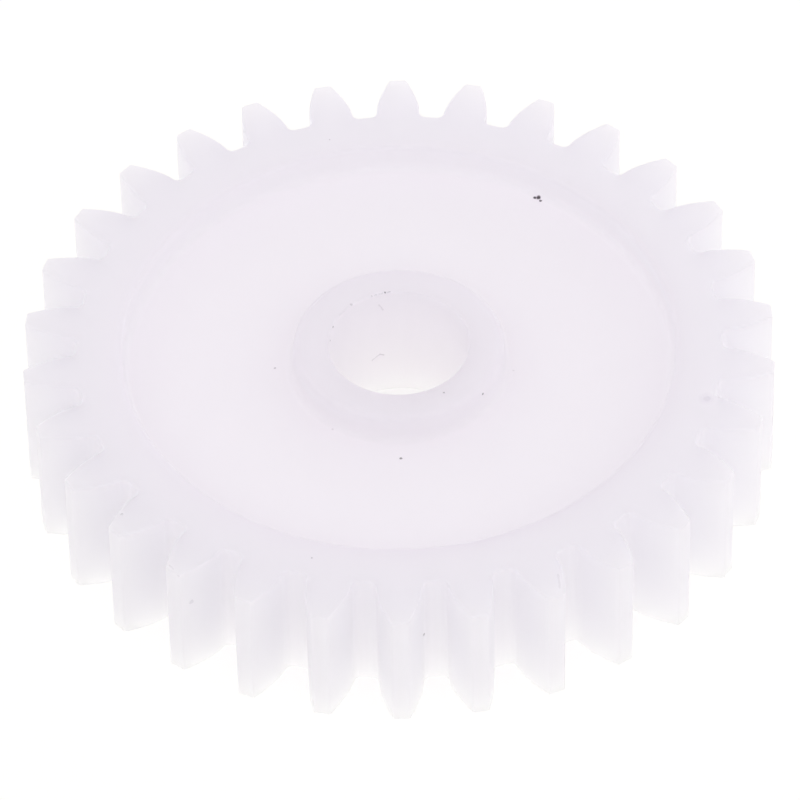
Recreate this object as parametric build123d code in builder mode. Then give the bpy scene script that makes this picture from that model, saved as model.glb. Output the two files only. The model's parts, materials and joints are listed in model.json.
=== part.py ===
"""Moulded acetal spur gear: 30 teeth, module 1, 20 degree pressure angle, plain 6 mm bore.

The origin is the centre of the bore at the lower face, and +Z runs up the bore. One tooth is
centred on +Y, so a tooth space is centred on +X. The gear is a single moulding, divided here into
the regions that a gear is named by: teeth, rim, web and hub. Neighbours meet face to face.
"""

import os
from math import acos, asin, cos, pi, radians, sin, sqrt, tan

from build123d import *

# Gear data, in millimetres and degrees
MODULE = 1.0
TOOTH_COUNT = 30
PRESSURE_ANGLE = 20
FACE_WIDTH = 6.0
TOOTH_THINNING = 0.03  # taken off the tooth thickness at the pitch circle, for backlash
TIP_ROUNDING = 0.12
ROOT_FILLET = 0.3

# The body that carries the teeth
BORE_RADIUS = 3.0
HUB_RADIUS = 4.5
HUB_ROUNDING = 0.3
RIM_INNER_RADIUS = 11.75
RIM_ROUNDING = 0.2
RECESS_DEPTH = 1.2  # from each face down to the web
DRAFT = 2  # on the walls of the hub and the rim
FOOT_FILLET = 0.3  # where those walls meet the web

# Radii that follow from the gear data
PITCH_RADIUS = MODULE * TOOTH_COUNT / 2
TIP_RADIUS = PITCH_RADIUS + MODULE
ROOT_RADIUS = PITCH_RADIUS - 1.25 * MODULE
BASE_RADIUS = PITCH_RADIUS * cos(radians(PRESSURE_ANGLE))

# The teeth sit on the rim at the circle where the root fillets end
FILLET_CENTRE_RADIUS = ROOT_RADIUS + ROOT_FILLET
SEAT_RADIUS = sqrt(FILLET_CENTRE_RADIUS**2 - ROOT_FILLET**2)

# The web is a plain plate between the foot fillets of the hub and of the rim
WALL_SPREAD = RECESS_DEPTH * tan(radians(DRAFT))
HUB_FOOT_RADIUS = HUB_RADIUS + WALL_SPREAD
RIM_FOOT_RADIUS = RIM_INNER_RADIUS - WALL_SPREAD
WEB_INNER_RADIUS = HUB_FOOT_RADIUS + FOOT_FILLET
WEB_OUTER_RADIUS = RIM_FOOT_RADIUS - FOOT_FILLET
WEB_BOTTOM = RECESS_DEPTH
WEB_TOP = FACE_WIDTH - RECESS_DEPTH

FLANK_POINTS = 7


def involute(angle):
    return tan(angle) - angle


def half_tooth_angle(radius):
    """Angle from a tooth's centre line to its flank; inside the base circle the flank is radial."""
    at_pitch_circle = pi / (2 * TOOTH_COUNT) - TOOTH_THINNING / (2 * PITCH_RADIUS)
    pressure = acos(min(1.0, BASE_RADIUS / radius))
    return at_pitch_circle + involute(radians(PRESSURE_ANGLE)) - involute(pressure)


def at(radius, angle):
    """Point in the gear's plane, with its angle in radians from the +Y axis towards +X."""
    return (radius * sin(angle), radius * cos(angle))


def arc_about_axis(radius, end_angle):
    """Arc about the gear's axis, from the +Y axis to an angle."""
    return ThreePointArc(at(radius, 0), at(radius, end_angle / 2), at(radius, end_angle))


def flank_points():
    """Points up a tooth's flank, from the base circle to the tip circle."""
    step = (TIP_RADIUS - BASE_RADIUS) / (FLANK_POINTS - 1)
    radii = [BASE_RADIUS + step * index for index in range(FLANK_POINTS)]
    return [at(radius, half_tooth_angle(radius)) for radius in radii]


os.makedirs("parts", exist_ok=True)

# Teeth: one tooth from its seat on the rim to its tip, then the full circle of them
with BuildPart() as tooth:
    with BuildSketch():
        with BuildLine():
            seat_angle = half_tooth_angle(SEAT_RADIUS)
            flank = flank_points()
            arc_about_axis(SEAT_RADIUS, seat_angle)
            Line(at(SEAT_RADIUS, seat_angle), flank[0])
            Spline(*flank)
            arc_about_axis(TIP_RADIUS, half_tooth_angle(TIP_RADIUS))
            Line(at(SEAT_RADIUS, 0), at(TIP_RADIUS, 0))
        make_face()
        mirror(about=Plane.YZ)
    extrude(amount=FACE_WIDTH)
    tip_corners = tooth.edges().filter_by(Axis.Z).sort_by(Axis.Y)[-2:]
    fillet(tip_corners, TIP_ROUNDING)

with BuildPart() as teeth:
    with PolarLocations(0, TOOTH_COUNT):
        add(tooth.part)

# Rim: a ring out to the teeth's seats, with the rounded bottom of each tooth space cut out of it
with BuildSketch() as space_bottom:
    with BuildLine():
        flank_angle = pi / TOOTH_COUNT - half_tooth_angle(SEAT_RADIUS)
        root_angle = flank_angle - asin(ROOT_FILLET / FILLET_CENTRE_RADIUS)
        flank_end = at(SEAT_RADIUS, flank_angle)
        arc_about_axis(ROOT_RADIUS, root_angle)
        TangentArc(at(ROOT_RADIUS, root_angle), flank_end, tangent=at(1, root_angle + pi / 2))
        Polyline(flank_end, at(TIP_RADIUS, flank_angle), at(TIP_RADIUS, 0), at(ROOT_RADIUS, 0))
    make_face()
    mirror(about=Plane.YZ)

with BuildPart() as rim:
    with BuildSketch(Plane.XZ) as rim_section:
        with BuildLine():
            Polyline(
                (WEB_OUTER_RADIUS, WEB_BOTTOM),
                (RIM_FOOT_RADIUS, WEB_BOTTOM),
                (RIM_INNER_RADIUS, 0),
                (SEAT_RADIUS, 0),
                (SEAT_RADIUS, FACE_WIDTH),
                (RIM_INNER_RADIUS, FACE_WIDTH),
                (RIM_FOOT_RADIUS, WEB_TOP),
                (WEB_OUTER_RADIUS, WEB_TOP),
                close=True,
            )
        make_face()
        fillet(rim_section.vertices().group_by(Axis.X)[1], FOOT_FILLET)
        fillet(rim_section.vertices().group_by(Axis.X)[-2], RIM_ROUNDING)
    revolve(axis=Axis.Z)
    with BuildSketch():
        with PolarLocations(0, TOOTH_COUNT, start_angle=180 / TOOTH_COUNT):
            add(space_bottom.sketch)
    extrude(amount=FACE_WIDTH, mode=Mode.SUBTRACT)

# Web: the plate between rim and hub, sunk below both faces
with BuildPart() as web:
    with BuildSketch(Plane.XY.offset(WEB_BOTTOM)):
        Circle(WEB_OUTER_RADIUS)
        Circle(WEB_INNER_RADIUS, mode=Mode.SUBTRACT)
    extrude(amount=WEB_TOP - WEB_BOTTOM)

# Hub: a boss as long as the teeth are wide, bored right through
with BuildPart() as hub:
    with BuildSketch(Plane.XZ) as hub_section:
        with BuildLine():
            Polyline(
                (BORE_RADIUS, 0),
                (HUB_RADIUS, 0),
                (HUB_FOOT_RADIUS, WEB_BOTTOM),
                (WEB_INNER_RADIUS, WEB_BOTTOM),
                (WEB_INNER_RADIUS, WEB_TOP),
                (HUB_FOOT_RADIUS, WEB_TOP),
                (HUB_RADIUS, FACE_WIDTH),
                (BORE_RADIUS, FACE_WIDTH),
                close=True,
            )
        make_face()
        fillet(hub_section.vertices().group_by(Axis.X)[-2], FOOT_FILLET)
        fillet(hub_section.vertices().group_by(Axis.X)[1], HUB_ROUNDING)
    revolve(axis=Axis.Z)

for name, piece in {"teeth": teeth, "rim": rim, "web": web, "hub": hub}.items():
    piece.part.label = name
    export_step(piece.part, f"parts/{name}.step")
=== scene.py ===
"""Looks for the moulded acetal spur gear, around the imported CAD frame.

The gear is one moulding, so one seamless mesh stands for the four CAD nodes that divide it, and
light can spread through all of it. Lengths are in metres, and MM turns millimetres into them.
"""

import json
from math import acos, atan2, cos, hypot, pi, radians, sin, sqrt, tan

import bmesh
import bpy
from mathutils import Matrix, Vector, noise


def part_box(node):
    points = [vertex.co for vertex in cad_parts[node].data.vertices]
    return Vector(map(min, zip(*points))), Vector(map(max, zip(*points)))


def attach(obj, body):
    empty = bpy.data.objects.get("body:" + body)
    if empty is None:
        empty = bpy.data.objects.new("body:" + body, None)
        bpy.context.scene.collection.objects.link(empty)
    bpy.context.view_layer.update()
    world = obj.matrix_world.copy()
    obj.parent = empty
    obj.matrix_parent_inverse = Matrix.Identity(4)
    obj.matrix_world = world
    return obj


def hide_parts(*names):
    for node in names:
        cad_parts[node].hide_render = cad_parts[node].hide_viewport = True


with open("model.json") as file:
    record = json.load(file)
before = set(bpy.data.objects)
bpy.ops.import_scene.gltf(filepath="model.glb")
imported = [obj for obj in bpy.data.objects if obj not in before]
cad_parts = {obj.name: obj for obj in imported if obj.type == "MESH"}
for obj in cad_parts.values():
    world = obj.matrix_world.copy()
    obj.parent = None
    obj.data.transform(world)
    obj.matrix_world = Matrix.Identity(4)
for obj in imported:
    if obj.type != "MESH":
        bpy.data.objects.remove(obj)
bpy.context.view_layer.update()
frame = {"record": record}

MM = 0.001
FULL_TURN = 2 * pi


# --- Sizes that the frame gives ---


def outer_radius(node):
    """Half of a round node's size along Y, where a tooth is centred."""
    low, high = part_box(node)
    return (high.y - low.y) / 2


def mount(name):
    """The record's mount of that name."""
    return next(entry for entry in frame["record"]["mounts"] if entry["name"] == name)


TOOTH_COUNT = 30
TIP_RADIUS = outer_radius("teeth")
FACE_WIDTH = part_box("teeth")[1].z
WEB_BOTTOM, WEB_TOP = (corner.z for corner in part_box("web"))
BORE_RADIUS = mount("bore")["dims"]["r_mm"] * MM

# The same gear data, fillets and draft as the CAD parts have
PRESSURE_ANGLE = radians(20)
TOOTH_THINNING = 0.03 * MM
TIP_ROUNDING = 0.12 * MM
ROOT_FILLET = 0.3 * MM
FOOT_FILLET = 0.3 * MM
HUB_ROUNDING = 0.3 * MM
RIM_ROUNDING = 0.2 * MM
DRAFT = radians(2)

MODULE = 2 * TIP_RADIUS / (TOOTH_COUNT + 2)
PITCH_RADIUS = MODULE * TOOTH_COUNT / 2
ROOT_RADIUS = PITCH_RADIUS - 1.25 * MODULE
BASE_RADIUS = PITCH_RADIUS * cos(PRESSURE_ANGLE)
WALL_SPREAD = WEB_BOTTOM * tan(DRAFT)
WEB_INNER_RADIUS = outer_radius("hub")
WEB_OUTER_RADIUS = outer_radius("web")
HUB_FOOT_RADIUS = WEB_INNER_RADIUS - FOOT_FILLET
HUB_RADIUS = HUB_FOOT_RADIUS - WALL_SPREAD
RIM_FOOT_RADIUS = WEB_OUTER_RADIUS + FOOT_FILLET
RIM_INNER_RADIUS = RIM_FOOT_RADIUS + WALL_SPREAD

# --- Sizes that only the looks have ---

MOULD_EDGE = 0.07 * MM  # rounding on the edges that the CAD leaves sharp
SINK = 0.03 * MM  # how far the faces of rim, web and hub dip in their middle
WAVINESS = 0.008 * MM
WAVE_LENGTH = 2.5 * MM

# Gate marks on the underside of the web: a dimple each, with a torn-off nub in its middle
GATE_COUNT = 3
GATE_RADIUS = 8.0 * MM
FIRST_GATE = radians(30)
DIMPLE_RADIUS = 0.9 * MM
DIMPLE_DEPTH = 0.14 * MM
DIMPLE_FLOOR = 0.65 * DIMPLE_RADIUS
NUB_RADIUS = 0.34 * MM
NUB_HEIGHT = 0.11 * MM
NUB_TOP = 0.55 * NUB_RADIUS

# How finely the mesh divides the outline of half a tooth, and the rings that follow it
TIP_STEPS, ROUNDING_STEPS, FLANK_STEPS, FILLET_STEPS, ROOT_STEPS = 3, 4, 7, 4, 2
TOOTH_BODY_STEPS = TIP_STEPS + ROUNDING_STEPS + FLANK_STEPS  # from a tip's middle to the base
HALF_TOOTH_STEPS = TOOTH_BODY_STEPS + 1 + FILLET_STEPS + ROOT_STEPS
EDGE_STEPS = 4
CORNER_STEPS = 5
COLLAR_STEPS = 5
SIDE_STEPS = 8
COLLAR_RADIUS = ROOT_RADIUS - 0.35 * MM  # where the fine rings of the tooth outline end
COLLAR_TAPER = 0.85  # a tooth's angle at the collar, as a share of its angle at the base circle
MERGE = 3  # how many points of a fine ring meet one point of a coarse ring
COARSE_STEP = 0.6 * MM
FINE_STEP = 0.1 * MM
FINE_REACH = 1.3 * DIMPLE_RADIUS  # the fine steps go this far past the middle of a gate mark

# --- Material, dirt and a faint edge line ---

ACETAL_TONES = ((0.966, 0.926, 0.971, 1), (0.976, 0.940, 0.981, 1))
ACETAL_ROUGHNESS = (0.40, 0.50)
ACETAL_IOR = 1.48
LIGHT_SPREAD = 8.0 * MM  # how far light spreads inside the acetal
GRAIN_HEIGHT = 0.02 * MM
DIRT_AND_EDGE_LINE_COLOUR = (0.07, 0.06, 0.06, 1)

# The tint of the acetal by radius: a little pinker in the web, a little cooler in the teeth
TINTS = (
    (HUB_RADIUS, (1.0, 1.0, 1.0, 1)),
    (WEB_INNER_RADIUS, (0.995, 0.972, 0.995, 1)),
    (WEB_OUTER_RADIUS, (0.995, 0.972, 0.995, 1)),
    (RIM_INNER_RADIUS, (1.0, 1.0, 1.0, 1)),
    (PITCH_RADIUS, (0.955, 0.988, 1.0, 1)),
)

# How fine each noise is, in features per metre
DRIFT_SCALE = 160.0  # the tone of the acetal
GRAIN_SCALE = 2600.0  # the fine grain of the moulded faces
RAGGED_SCALE = 9000.0  # the edges of specks and hairs

# Specks: radius in mm, angle from +Y towards +X in degrees, height, how far the speck reaches
# from its middle in mm, and how dark its core is
SPECKS = (
    (11.52, 31.9, WEB_TOP, 0.13, 0.95),
    (11.44, 31.2, WEB_TOP, 0.09, 0.95),
    (11.40, 32.7, WEB_TOP, 0.08, 0.9),
    (5.6, 179.4, WEB_TOP, 0.07, 0.7),
    (5.3, 267.3, WEB_TOP, 0.06, 0.4),
    (11.7, 351.3, WEB_TOP, 0.05, 0.4),
    (3.5, 147.0, FACE_WIDTH, 0.06, 0.8),
    (4.5, 128.0, FACE_WIDTH - 0.3 * MM, 0.065, 0.8),
    (3.06, 349.0, FACE_WIDTH, 0.055, 0.8),
    (3.06, 318.7, FACE_WIDTH, 0.09, 0.25),
    (3.0, 291.0, FACE_WIDTH - 0.1 * MM, 0.065, 0.7),
    (3.0, 282.5, FACE_WIDTH - 0.5 * MM, 0.06, 0.6),
    (12.7, 346.4, FACE_WIDTH, 0.05, 0.4),
    (12.8, 196.5, FACE_WIDTH, 0.06, 0.4),
    (15.1, 230.0, FACE_WIDTH, 0.08, 0.4),
    (13.45, 105.0, FACE_WIDTH, 0.42, 0.09),
    (13.45, 105.0, FACE_WIDTH, 0.24, 0.2),
    (4.9, 96.7, WEB_TOP, 0.05, 0.15),
    (4.8, 216.1, WEB_TOP, 0.06, 0.15),
    (4.52, 291.0, FACE_WIDTH - 0.8 * MM, 0.08, 0.1),
    (13.88, 176.05, FACE_WIDTH - 3.1 * MM, 0.09, 0.6),
    (15.55, 213.9, FACE_WIDTH - 1.95 * MM, 0.14, 0.2),
)
# Hairs, and in the last row a faint dark line along the top edge of a tooth: where each starts and
# ends, how far it reaches from its middle line in mm, and how dark
HAIRS_AND_EDGE_LINE = (
    ((3.02, 337.5, FACE_WIDTH), (3.05, 353.0, FACE_WIDTH), 0.045, 0.25),
    ((3.02, 304.0, FACE_WIDTH), (3.06, 317.0, FACE_WIDTH), 0.06, 0.06),
    ((3.0, 336.3, FACE_WIDTH - 3.95 * MM), (3.0, 343.4, FACE_WIDTH - 3.7 * MM), 0.045, 0.22),
    ((3.0, 343.4, FACE_WIDTH - 3.7 * MM), (3.0, 346.5, FACE_WIDTH - 3.8 * MM), 0.045, 0.28),
    ((3.0, 343.6, FACE_WIDTH - 0.65 * MM), (3.0, 346.8, FACE_WIDTH - 1.0 * MM), 0.045, 0.16),
    ((15.8, 217.0, FACE_WIDTH), (16.0, 214.8, FACE_WIDTH - 0.1 * MM), 0.06, 0.12),
    # a faint dark line drawn along the top edge of a tooth's flank
    ((14.9, 153.9, FACE_WIDTH), (15.6, 154.9, FACE_WIDTH), 0.06, 0.1),
)
RAGGEDNESS = 0.08 * MM  # how unevenly the edge of a speck or hair runs
CORE = 0.5  # share of its reach that is as dark as its core

# --- Light and camera ---

# How bright the studio is towards the ends of the axes: walls at the horizon, cards above it
WALLS = (("X", 0.87), ("X", -0.35), ("Y", 1.28))
CARDS = (("X", 0.82), ("X", -0.92), ("Y", -1.20))
CARDS_ALL_ROUND = 0.15
OVERHEAD = 0.92
WALL_TOP, CARD_BOTTOM = 0.22, 0.5  # heights are sines of the angle above the horizon
CARD_TOP, OVERHEAD_EDGE = 0.6, 0.85
STUDIO_COLOUR = (0.975, 0.932, 1.0, 1)

# The floor, which the gear shades: it glows evenly, but for painted shadow, a lower glow in the disc
# under the gear, lowest under its bore
FLOOR_HALF_WIDTH = 1.0
OPEN_GLOW = 0.965
# painted shadow: how brightly the floor glows under the gear, and under its bore
PAINTED_SHADOW_GLOW = 0.79
BORE_PAINTED_SHADOW_GLOW = 0.75
GLOW_COLOUR = (1.0, 0.987, 0.969, 1)
OPEN_FLOOR = (0.05, 0.05, 0.05, 1)
SHADED_FLOOR = (0.25, 0.25, 0.25, 1)

CAMERA_SENSOR = 36.0
CAMERA_LENS = 348.8
CAMERA_CLIP_START = 0.01
CAMERA_AZIMUTH = radians(0.78)
CAMERA_ELEVATION = radians(46.62)
CAMERA_DISTANCE = 332.15 * MM
CAMERA_ROLL = radians(-1.261)
CAMERA_TARGET = Vector((0, 0, 0.409 * FACE_WIDTH))


# --- Tooth outline ---


def involute(angle):
    return tan(angle) - angle


def pressure_at(radius):
    """Pressure angle at a radius; 0 from the base circle inwards."""
    return acos(min(1.0, BASE_RADIUS / radius))


HALF_TOOTH_AT_BASE = (
    pi / (2 * TOOTH_COUNT) - TOOTH_THINNING / (2 * PITCH_RADIUS) + involute(PRESSURE_ANGLE)
)


def on_flank(radius):
    """Point on the flank; inside the base circle the flank is radial."""
    return at(radius, HALF_TOOTH_AT_BASE - involute(pressure_at(radius)))


def at(radius, angle):
    """Point in the gear's plane, with its angle from the +Y axis towards +X."""
    return Vector((radius * sin(angle), radius * cos(angle)))


def steps(start, end, count):
    """Evenly spaced numbers after start, up to and with end."""
    return [start + (end - start) * (index + 1) / count for index in range(count)]


def arc(centre, start, end, count):
    """Points after start on the short arc about a centre, up to and with end."""
    first, last = start - centre, end - centre
    start_angle = atan2(first.y, first.x)
    turn = (atan2(last.y, last.x) - start_angle + pi) % FULL_TURN - pi
    return [
        centre + first.length * Vector((cos(angle), sin(angle)))
        for angle in steps(start_angle, start_angle + turn, count)
    ]


def half_tooth():
    """Outline from the middle of a tip, down the +X flank, to the middle of the next space."""
    rounding_radius = TIP_RADIUS - TIP_ROUNDING
    string = sqrt(rounding_radius**2 - BASE_RADIUS**2) + TIP_ROUNDING
    flank_top = sqrt(BASE_RADIUS**2 + string**2)
    tip_angle = (
        HALF_TOOTH_AT_BASE - TIP_ROUNDING / BASE_RADIUS - involute(pressure_at(rounding_radius))
    )
    fillet_radius = ROOT_RADIUS + ROOT_FILLET
    seat_radius = sqrt(fillet_radius**2 - ROOT_FILLET**2)
    root_angle = HALF_TOOTH_AT_BASE + atan2(ROOT_FILLET, seat_radius)

    points = [at(TIP_RADIUS, 0)]
    points += [at(TIP_RADIUS, angle) for angle in steps(0, tip_angle, TIP_STEPS)]
    points += arc(
        at(rounding_radius, tip_angle), points[-1], on_flank(flank_top), ROUNDING_STEPS
    )
    points += [on_flank(radius) for radius in steps(flank_top, BASE_RADIUS, FLANK_STEPS)]
    points.append(on_flank(seat_radius))
    points += arc(
        at(fillet_radius, root_angle), points[-1], at(ROOT_RADIUS, root_angle), FILLET_STEPS
    )
    points += [
        at(ROOT_RADIUS, angle) for angle in steps(root_angle, pi / TOOTH_COUNT, ROOT_STEPS)
    ]
    return points


def turned(point, angle):
    """A point turned about the axis, from +Y towards +X."""
    return at(point.length, atan2(point.x, point.y) + angle)


def gear_outline():
    """The whole outline, from the middle of the tip on +Y, round towards +X."""
    half = half_tooth()
    mirrored = [Vector((-point.x, point.y)) for point in reversed(half[1:-1])]
    outline = []
    for index in range(TOOTH_COUNT):
        angle = FULL_TURN * index / TOOTH_COUNT
        outline += [turned(point, angle) for point in half]
        outline += [turned(point, angle + FULL_TURN / TOOTH_COUNT) for point in mirrored]
    return outline


def inset(outline, depth):
    """The outline moved into the material, along its own normals."""
    moved = []
    for index, point in enumerate(outline):
        along = outline[(index + 1) % len(outline)] - outline[index - 1]
        moved.append(point + Vector((along.y, -along.x)).normalized() * depth)
    return moved


# --- Section of rim, web and hub ---


def rounded(corners):
    """A line through (radius, height, rounding) corners, with an arc at each rounded one."""
    line = [Vector(corners[0][:2])]
    for before, corner, after in zip(corners, corners[1:], corners[2:]):
        point = Vector(corner[:2])
        back = (Vector(before[:2]) - point).normalized()
        ahead = (Vector(after[:2]) - point).normalized()
        half_angle = back.angle(ahead) / 2
        centre = point + (back + ahead).normalized() * corner[2] / sin(half_angle)
        reach = corner[2] / tan(half_angle)
        line.append(point + back * reach)
        line += arc(centre, line[-1], point + ahead * reach, CORNER_STEPS)
    line.append(Vector(corners[-1][:2]))
    return line


def divided(line, fine_from=None, fine_to=None):
    """The line with points added on its long runs, closer together between two radii."""
    points = [line[0]]
    for start, end in zip(line, line[1:]):
        while (end - points[-1]).length > 1.5 * COARSE_STEP:
            near = fine_from is not None and fine_from < points[-1].x < fine_to
            step = FINE_STEP if near else COARSE_STEP
            points.append(points[-1] + (end - start).normalized() * step)
        points.append(end)
    return points


def half_section():
    """The upper half of the section, from the collar in to the bore and down to its middle."""
    return rounded(
        [
            (COLLAR_RADIUS - COARSE_STEP / 2, FACE_WIDTH, 0),
            (RIM_INNER_RADIUS, FACE_WIDTH, RIM_ROUNDING),
            (RIM_FOOT_RADIUS, WEB_TOP, FOOT_FILLET),
            (HUB_FOOT_RADIUS, WEB_TOP, FOOT_FILLET),
            (HUB_RADIUS, FACE_WIDTH, HUB_ROUNDING),
            (BORE_RADIUS, FACE_WIDTH, MOULD_EDGE),
            (BORE_RADIUS, FACE_WIDTH / 2, 0),
        ]
    )


# --- The mesh, as rings that follow each other round the section ---


def at_height(points, height):
    """Points in the gear's plane, put at a height."""
    return [Vector((point.x, point.y, height)) for point in points]


def coarse_ring(radius, height):
    """A plain circle, with one point for every MERGE points of the tooth outline."""
    count = 2 * TOOTH_COUNT * HALF_TOOTH_STEPS // MERGE
    return at_height([at(radius, FULL_TURN * index / count) for index in range(count)], height)


def collar_angle(index):
    """Where on the collar an outline point is led to, so that no two of the lines in cross."""
    tooth, step = divmod(index, 2 * HALF_TOOTH_STEPS)
    from_tooth = min(step, 2 * HALF_TOOTH_STEPS - step)
    body_angle = COLLAR_TAPER * HALF_TOOTH_AT_BASE
    if from_tooth <= TOOTH_BODY_STEPS:
        angle = body_angle * from_tooth / TOOTH_BODY_STEPS
    else:
        share = (from_tooth - TOOTH_BODY_STEPS) / (HALF_TOOTH_STEPS - TOOTH_BODY_STEPS)
        angle = body_angle + (pi / TOOTH_COUNT - body_angle) * share
    if step > HALF_TOOTH_STEPS:
        angle = FULL_TURN / TOOTH_COUNT - angle
    return FULL_TURN * tooth / TOOTH_COUNT + angle


def drawn_in(point, end_angle, share):
    """A point part of the way in from the outline to the collar."""
    angle = atan2(point.x, point.y)
    turn = (end_angle - angle + pi) % FULL_TURN - pi
    radius = point.length + (COLLAR_RADIUS - point.length) * share
    return at(radius, angle + turn * share)


def end_face_rings(outline):
    """The upper end face round the teeth, from its rounded outer edge in to the collar."""
    rings = []
    for angle in steps(0, pi / 2, EDGE_STEPS):
        depth = MOULD_EDGE * (1 - cos(angle))
        height = FACE_WIDTH - MOULD_EDGE * (1 - sin(angle))
        rings.append(at_height(inset(outline, depth), height))
    edge = inset(outline, MOULD_EDGE)
    for share in steps(0, 1, COLLAR_STEPS):
        points = [
            drawn_in(point, collar_angle(index), share) for index, point in enumerate(edge)
        ]
        rings.append(at_height(points, FACE_WIDTH))
    return rings


def flipped(rings):
    """The same rings on the lower half of the gear, in the order that goes back outwards."""
    return [
        [Vector((point.x, point.y, FACE_WIDTH - point.z)) for point in ring]
        for ring in reversed(rings)
    ]


def gear_rings():
    """All rings, from the upper outer edge inwards, down the bore, and back out and up."""
    outline = gear_outline()
    face = end_face_rings(outline)
    upper = [coarse_ring(*point) for point in divided(half_section())]
    lower_line = divided(half_section(), GATE_RADIUS - FINE_REACH, GATE_RADIUS + FINE_REACH)
    lower = flipped([coarse_ring(*point) for point in lower_line])
    sides = [
        at_height(outline, height)
        for height in steps(MOULD_EDGE, FACE_WIDTH - MOULD_EDGE, SIDE_STEPS)
    ]
    return face + upper + lower[1:] + flipped(face) + [at_height(outline, MOULD_EDGE)] + sides


def bridge(mesh, outer, inner):
    """Faces between two rings of vertices, which have equal counts or differ MERGE times."""
    if len(outer) < len(inner):
        outer, inner = inner, outer
    ratio = len(outer) // len(inner)
    for index in range(len(inner)):
        start = index * ratio
        one, other = inner[index], inner[(index + 1) % len(inner)]
        row = [outer[(start + step) % len(outer)] for step in range(ratio + 1)]
        if ratio == 1:
            mesh.faces.new((row[0], row[1], other, one))
        else:
            mesh.faces.new((row[0], row[1], one))
            mesh.faces.new((row[1], row[2], other, one))
            mesh.faces.new((row[2], row[3], other))


def swell(radius, start, end):
    """0 outside two radii, and a smooth rise to 1 halfway between them."""
    if not start < radius < end:
        return 0.0
    return sin(pi * (radius - start) / (end - start)) ** 2


def smooth_step(value, start, end):
    """0 at start, 1 at end, and a smooth rise between them."""
    share = min(1.0, max(0.0, (value - start) / (end - start)))
    return share * share * (3 - 2 * share)


def gate_mark(point):
    """How far the underside of the web is pushed in here by a gate mark."""
    nearest = min(
        (point.xy - at(GATE_RADIUS, FIRST_GATE + FULL_TURN * index / GATE_COUNT)).length
        for index in range(GATE_COUNT)
    )
    dimple = DIMPLE_DEPTH * smooth_step(nearest, DIMPLE_RADIUS, DIMPLE_FLOOR)
    nub = NUB_HEIGHT * smooth_step(nearest, NUB_RADIUS, NUB_TOP)
    return dimple - nub


def settled(point):
    """A point with the sink, the slight waviness and the gate marks of a moulded face."""
    radius = hypot(point.x, point.y)
    flat = (
        swell(radius, BORE_RADIUS + MOULD_EDGE, HUB_RADIUS - HUB_ROUNDING)
        + swell(radius, WEB_INNER_RADIUS, WEB_OUTER_RADIUS)
        + swell(radius, RIM_INNER_RADIUS + RIM_ROUNDING, ROOT_RADIUS)
    )
    depth = flat * (SINK + WAVINESS * noise.noise(point / WAVE_LENGTH))
    if point.z > FACE_WIDTH / 2:
        return point - Vector((0, 0, depth))
    return point + Vector((0, 0, depth + gate_mark(point)))


def make_gear():
    """The whole moulding, as one closed mesh."""
    mesh = bmesh.new()
    rings = [[mesh.verts.new(settled(point)) for point in ring] for ring in gear_rings()]
    for index, ring in enumerate(rings):
        bridge(mesh, ring, rings[index - 1])
    bmesh.ops.recalc_face_normals(mesh, faces=mesh.faces)
    for face in mesh.faces:
        face.smooth = True
    data = bpy.data.meshes.new("spur_gear")
    mesh.to_mesh(data)
    mesh.free()
    gear = bpy.data.objects.new("spur_gear", data)
    bpy.context.scene.collection.objects.link(gear)
    flats = gear.modifiers.new("flat_faces", "WEIGHTED_NORMAL")
    flats.weight = 100
    return gear


# --- Materials ---


class Nodes:
    """Shorthand for adding linked nodes to a tree."""

    def __init__(self, tree):
        self.tree = tree
        tree.nodes.clear()

    def add(self, kind, inputs=None, **settings):
        node = self.tree.nodes.new(kind)
        for name, value in settings.items():
            setattr(node, name, value)
        for name, value in (inputs or {}).items():
            if isinstance(value, bpy.types.NodeSocket):
                self.tree.links.new(value, node.inputs[name])
            else:
                node.inputs[name].default_value = value
        return node


def on_gear(radius, angle, height):
    """Point from a radius in mm, an angle in degrees from +Y towards +X, and a height."""
    return Vector((*at(radius * MM, radians(angle)), height))


def gap_to_point(nodes, place, centre):
    """Distance from a point."""
    gap = nodes.add("ShaderNodeVectorMath", {0: place, 1: centre}, operation="DISTANCE")
    return gap.outputs["Value"]


def gap_to_line(nodes, place, start, end):
    """Distance from the straight line between two points."""
    along = end - start
    offset = nodes.add("ShaderNodeVectorMath", {0: place, 1: start}, operation="SUBTRACT")
    share = nodes.add(
        "ShaderNodeVectorMath",
        {0: offset.outputs["Vector"], 1: along / along.length_squared},
        operation="DOT_PRODUCT",
    )
    held = nodes.add(
        "ShaderNodeClamp", {"Value": share.outputs["Value"], "Min": 0.0, "Max": 1.0}
    )
    nearest = nodes.add(
        "ShaderNodeVectorMath", {0: along, "Scale": held.outputs["Result"]}, operation="SCALE"
    )
    gap = nodes.add(
        "ShaderNodeVectorMath",
        {0: offset.outputs["Vector"], 1: nearest.outputs["Vector"]},
        operation="DISTANCE",
    )
    return gap.outputs["Value"]


def shaken(nodes, place):
    """The place moved a little by fine noise, so that what is drawn there gets a ragged edge."""
    ragged = nodes.add("ShaderNodeTexNoise", {"Vector": place, "Scale": RAGGED_SCALE, "Detail": 2.0})
    shake = nodes.add(
        "ShaderNodeVectorMath",
        {0: ragged.outputs["Color"], 1: (0.5, 0.5, 0.5)},
        operation="SUBTRACT",
    )
    moved = nodes.add(
        "ShaderNodeVectorMath",
        {0: shake.outputs["Vector"], 1: (RAGGEDNESS,) * 3, 2: place},
        operation="MULTIPLY_ADD",
    )
    return moved.outputs["Vector"]


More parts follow.
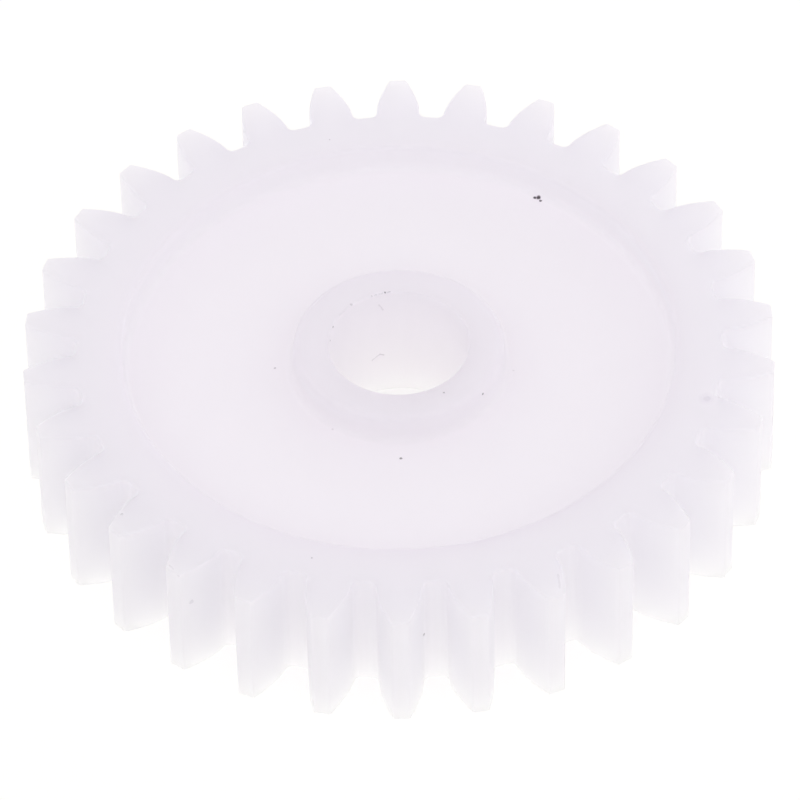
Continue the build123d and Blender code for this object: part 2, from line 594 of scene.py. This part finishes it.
def dirt_and_edge_line(nodes, place):
    """How dark specks, hairs and the faint line along a tooth's edge make the surface: 0 for clean
    acetal, towards 1 inside a speck.
    """
    place = shaken(nodes, place)
    marks = [
        (gap_to_point(nodes, place, on_gear(radius, angle, height)), reach, darkness)
        for radius, angle, height, reach, darkness in SPECKS
    ]
    marks += [
        (gap_to_line(nodes, place, on_gear(*start), on_gear(*end)), reach, darkness)
        for start, end, reach, darkness in HAIRS_AND_EDGE_LINE
    ]
    darkest = 0.0
    for gap, reach, darkness in marks:
        mark = nodes.add(
            "ShaderNodeMapRange",
            {
                "Value": gap,
                "From Min": CORE * reach * MM,
                "From Max": reach * MM,
                "To Min": darkness,
                "To Max": 0.0,
            },
        )
        darkest = nodes.add(
            "ShaderNodeMath", {0: mark.outputs["Result"], 1: darkest}, operation="MAXIMUM"
        ).outputs["Value"]
    return darkest


def tint(nodes, place):
    """The tint of the acetal, by its distance from the gear's axis."""
    flat = nodes.add("ShaderNodeVectorMath", {0: place, 1: (1.0, 1.0, 0.0)}, operation="MULTIPLY")
    radius = nodes.add("ShaderNodeVectorMath", {0: flat.outputs["Vector"]}, operation="LENGTH")
    share = nodes.add(
        "ShaderNodeMath", {0: radius.outputs["Value"], 1: TIP_RADIUS}, operation="DIVIDE"
    )
    ramp = nodes.add("ShaderNodeValToRGB", {"Fac": share.outputs["Value"]})
    elements = ramp.color_ramp.elements
    elements.remove(elements[1])
    elements[0].position = 0.0
    elements[0].color = TINTS[0][1]
    for ring, colour in TINTS:
        elements.new(ring / TIP_RADIUS).color = colour
    return ramp.outputs["Color"]


def acetal():
    """Natural acetal: milky, faintly violet, with light that spreads several millimetres in it."""
    material = bpy.data.materials.new("acetal")
    material.use_nodes = True
    nodes = Nodes(material.node_tree)
    place = nodes.add("ShaderNodeTexCoord").outputs["Object"]

    drift = nodes.add("ShaderNodeTexNoise", {"Vector": place, "Scale": DRIFT_SCALE, "Detail": 2.0})
    tone = nodes.add(
        "ShaderNodeMix",
        {"Factor": drift.outputs["Fac"], 6: ACETAL_TONES[0], 7: ACETAL_TONES[1]},
        data_type="RGBA",
    )
    tinted = nodes.add(
        "ShaderNodeMix",
        {"Factor": 1.0, 6: tone.outputs[2], 7: tint(nodes, place)},
        data_type="RGBA",
        blend_type="MULTIPLY",
    )
    colour = nodes.add(
        "ShaderNodeMix",
        {"Factor": dirt_and_edge_line(nodes, place), 6: tinted.outputs[2], 7: DIRT_AND_EDGE_LINE_COLOUR},
        data_type="RGBA",
    )
    grain = nodes.add("ShaderNodeTexNoise", {"Vector": place, "Scale": GRAIN_SCALE, "Detail": 4.0})
    polish = nodes.add(
        "ShaderNodeMapRange",
        {
            "Value": grain.outputs["Fac"],
            "From Min": 0.3,
            "From Max": 0.7,
            "To Min": ACETAL_ROUGHNESS[0],
            "To Max": ACETAL_ROUGHNESS[1],
        },
    )
    relief = nodes.add(
        "ShaderNodeBump",
        {"Height": grain.outputs["Fac"], "Strength": 0.12, "Distance": GRAIN_HEIGHT},
    )
    shader = nodes.add(
        "ShaderNodeBsdfPrincipled",
        {
            "Base Color": colour.outputs[2],
            "Roughness": polish.outputs["Result"],
            "Normal": relief.outputs["Normal"],
            "IOR": ACETAL_IOR,
            "Subsurface Weight": 1.0,
            "Subsurface Radius": (1.0, 1.0, 1.0),
            "Subsurface Scale": LIGHT_SPREAD,
        },
    )
    nodes.add("ShaderNodeOutputMaterial", {"Surface": shader.outputs["BSDF"]})
    return material


def light_table():
    """Plain white floor that glows evenly, but for painted shadow: a lower glow in the disc under
    the gear, lowest under its bore.

    The glow stands in for light from below: the gear is lit from all round, as on a light table.
    """
    material = bpy.data.materials.new("light_table")
    material.use_nodes = True
    nodes = Nodes(material.node_tree)
    place = nodes.add("ShaderNodeTexCoord").outputs["Object"]
    radius = nodes.add("ShaderNodeVectorMath", {0: place}, operation="LENGTH")
    open_floor = nodes.add(
        "ShaderNodeMapRange",
        {
            "Value": radius.outputs["Value"],
            "From Min": ROOT_RADIUS,
            "From Max": TIP_RADIUS + MODULE / 2,
            "To Min": 0.0,
            "To Max": 1.0,
        },
    ).outputs["Result"]
    white = nodes.add(
        "ShaderNodeMix",
        {"Factor": open_floor, 6: SHADED_FLOOR, 7: OPEN_FLOOR},
        data_type="RGBA",
    )
    # painted shadow: the glow falls from the open floor to a lower glow under the gear, and lower
    # still under the bore
    painted_shadow = nodes.add(
        "ShaderNodeMapRange",
        {
            "Value": radius.outputs["Value"],
            "From Min": BORE_RADIUS,
            "From Max": HUB_RADIUS,
            "To Min": BORE_PAINTED_SHADOW_GLOW,
            "To Max": PAINTED_SHADOW_GLOW,
        },
    )
    glow = nodes.add(
        "ShaderNodeMix", {"Factor": open_floor, "A": painted_shadow.outputs["Result"], "B": OPEN_GLOW}
    )
    shader = nodes.add(
        "ShaderNodeBsdfPrincipled",
        {
            "Base Color": white.outputs[2],
            "Roughness": 0.8,
            "Emission Color": GLOW_COLOUR,
            "Emission Strength": glow.outputs["Result"],
        },
    )
    nodes.add("ShaderNodeOutputMaterial", {"Surface": shader.outputs["BSDF"]})
    return material


# --- Stage, light and camera ---


def make_floor():
    mesh = bmesh.new()
    bmesh.ops.create_grid(mesh, x_segments=1, y_segments=1, size=FLOOR_HALF_WIDTH)
    data = bpy.data.meshes.new("floor")
    mesh.to_mesh(data)
    mesh.free()
    floor = bpy.data.objects.new("floor", data)
    bpy.context.scene.collection.objects.link(floor)
    data.materials.append(light_table())
    return floor


class Sky(Nodes):
    """Node tree of the studio's light, as sums and blends over the direction looked in."""

    def __init__(self, tree):
        super().__init__(tree)
        direction = self.add("ShaderNodeTexCoord").outputs["Generated"]
        self.axes = self.add("ShaderNodeSeparateXYZ", {"Vector": direction}).outputs

    def calculate(self, operation, one, other, clamp=False):
        node = self.add(
            "ShaderNodeMath", {0: one, 1: other}, operation=operation, use_clamp=clamp
        )
        return node.outputs["Value"]

    def side(self, axis, strength):
        """Light that grows towards one end of an axis: its strength's sign says which."""
        sign = 1.0 if strength > 0 else -1.0
        towards = self.calculate("MULTIPLY", self.axes[axis], sign, clamp=True)
        return self.calculate("MULTIPLY", towards, abs(strength))

    def sides(self, strengths, all_round=0.0):
        """The sum of the light from several sides."""
        total = all_round
        for axis, strength in strengths:
            total = self.calculate("ADD", total, self.side(axis, strength))
        return total

    def blend(self, start, end, lower, upper):
        """The lower light up to one height, the upper light from another, and a blend between."""
        rise = self.add(
            "ShaderNodeMapRange",
            {"Value": self.axes["Z"], "From Min": start, "From Max": end},
            interpolation_type="SMOOTHSTEP",
        )
        mix = self.add(
            "ShaderNodeMix", {"Factor": rise.outputs["Result"], "A": lower, "B": upper}
        )
        return mix.outputs["Result"]


def studio_sky():
    """Soft studio light from all round: overhead, cards above the horizon, and walls at it.

    The zone behind the camera, low down at the front, stays dark.
    """
    world = bpy.data.worlds.new("studio")
    world.use_nodes = True
    sky = Sky(world.node_tree)
    walls = sky.sides(WALLS)
    cards = sky.sides(CARDS, CARDS_ALL_ROUND)
    sides = sky.blend(WALL_TOP, CARD_BOTTOM, walls, cards)
    strength = sky.blend(CARD_TOP, OVERHEAD_EDGE, sides, OVERHEAD)
    light = sky.add("ShaderNodeBackground", {"Color": STUDIO_COLOUR, "Strength": strength})
    sky.add("ShaderNodeOutputWorld", {"Surface": light.outputs["Background"]})
    bpy.context.scene.world = world


def aim(thing, target, roll):
    """Points a camera's own -Z axis at a target, then turns it about that axis."""
    turn = (target - thing.location).to_track_quat("-Z", "Y").to_matrix()
    thing.rotation_euler = (turn @ Matrix.Rotation(roll, 3, "Z")).to_euler()


def make_camera():
    data = bpy.data.cameras.new("camera")
    data.sensor_width = CAMERA_SENSOR
    data.lens = CAMERA_LENS
    data.clip_start = CAMERA_CLIP_START
    camera = bpy.data.objects.new("camera", data)
    bpy.context.scene.collection.objects.link(camera)
    away = Vector((*at(cos(CAMERA_ELEVATION), pi - CAMERA_AZIMUTH), sin(CAMERA_ELEVATION)))
    camera.location = CAMERA_TARGET + CAMERA_DISTANCE * away
    aim(camera, CAMERA_TARGET, CAMERA_ROLL)
    bpy.context.scene.camera = camera


gear = make_gear()
gear.data.materials.append(acetal())
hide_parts("teeth", "rim", "web", "hub")
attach(gear, "root")
make_floor()
studio_sky()
make_camera()
bpy.context.scene.view_settings.view_transform = "Standard"
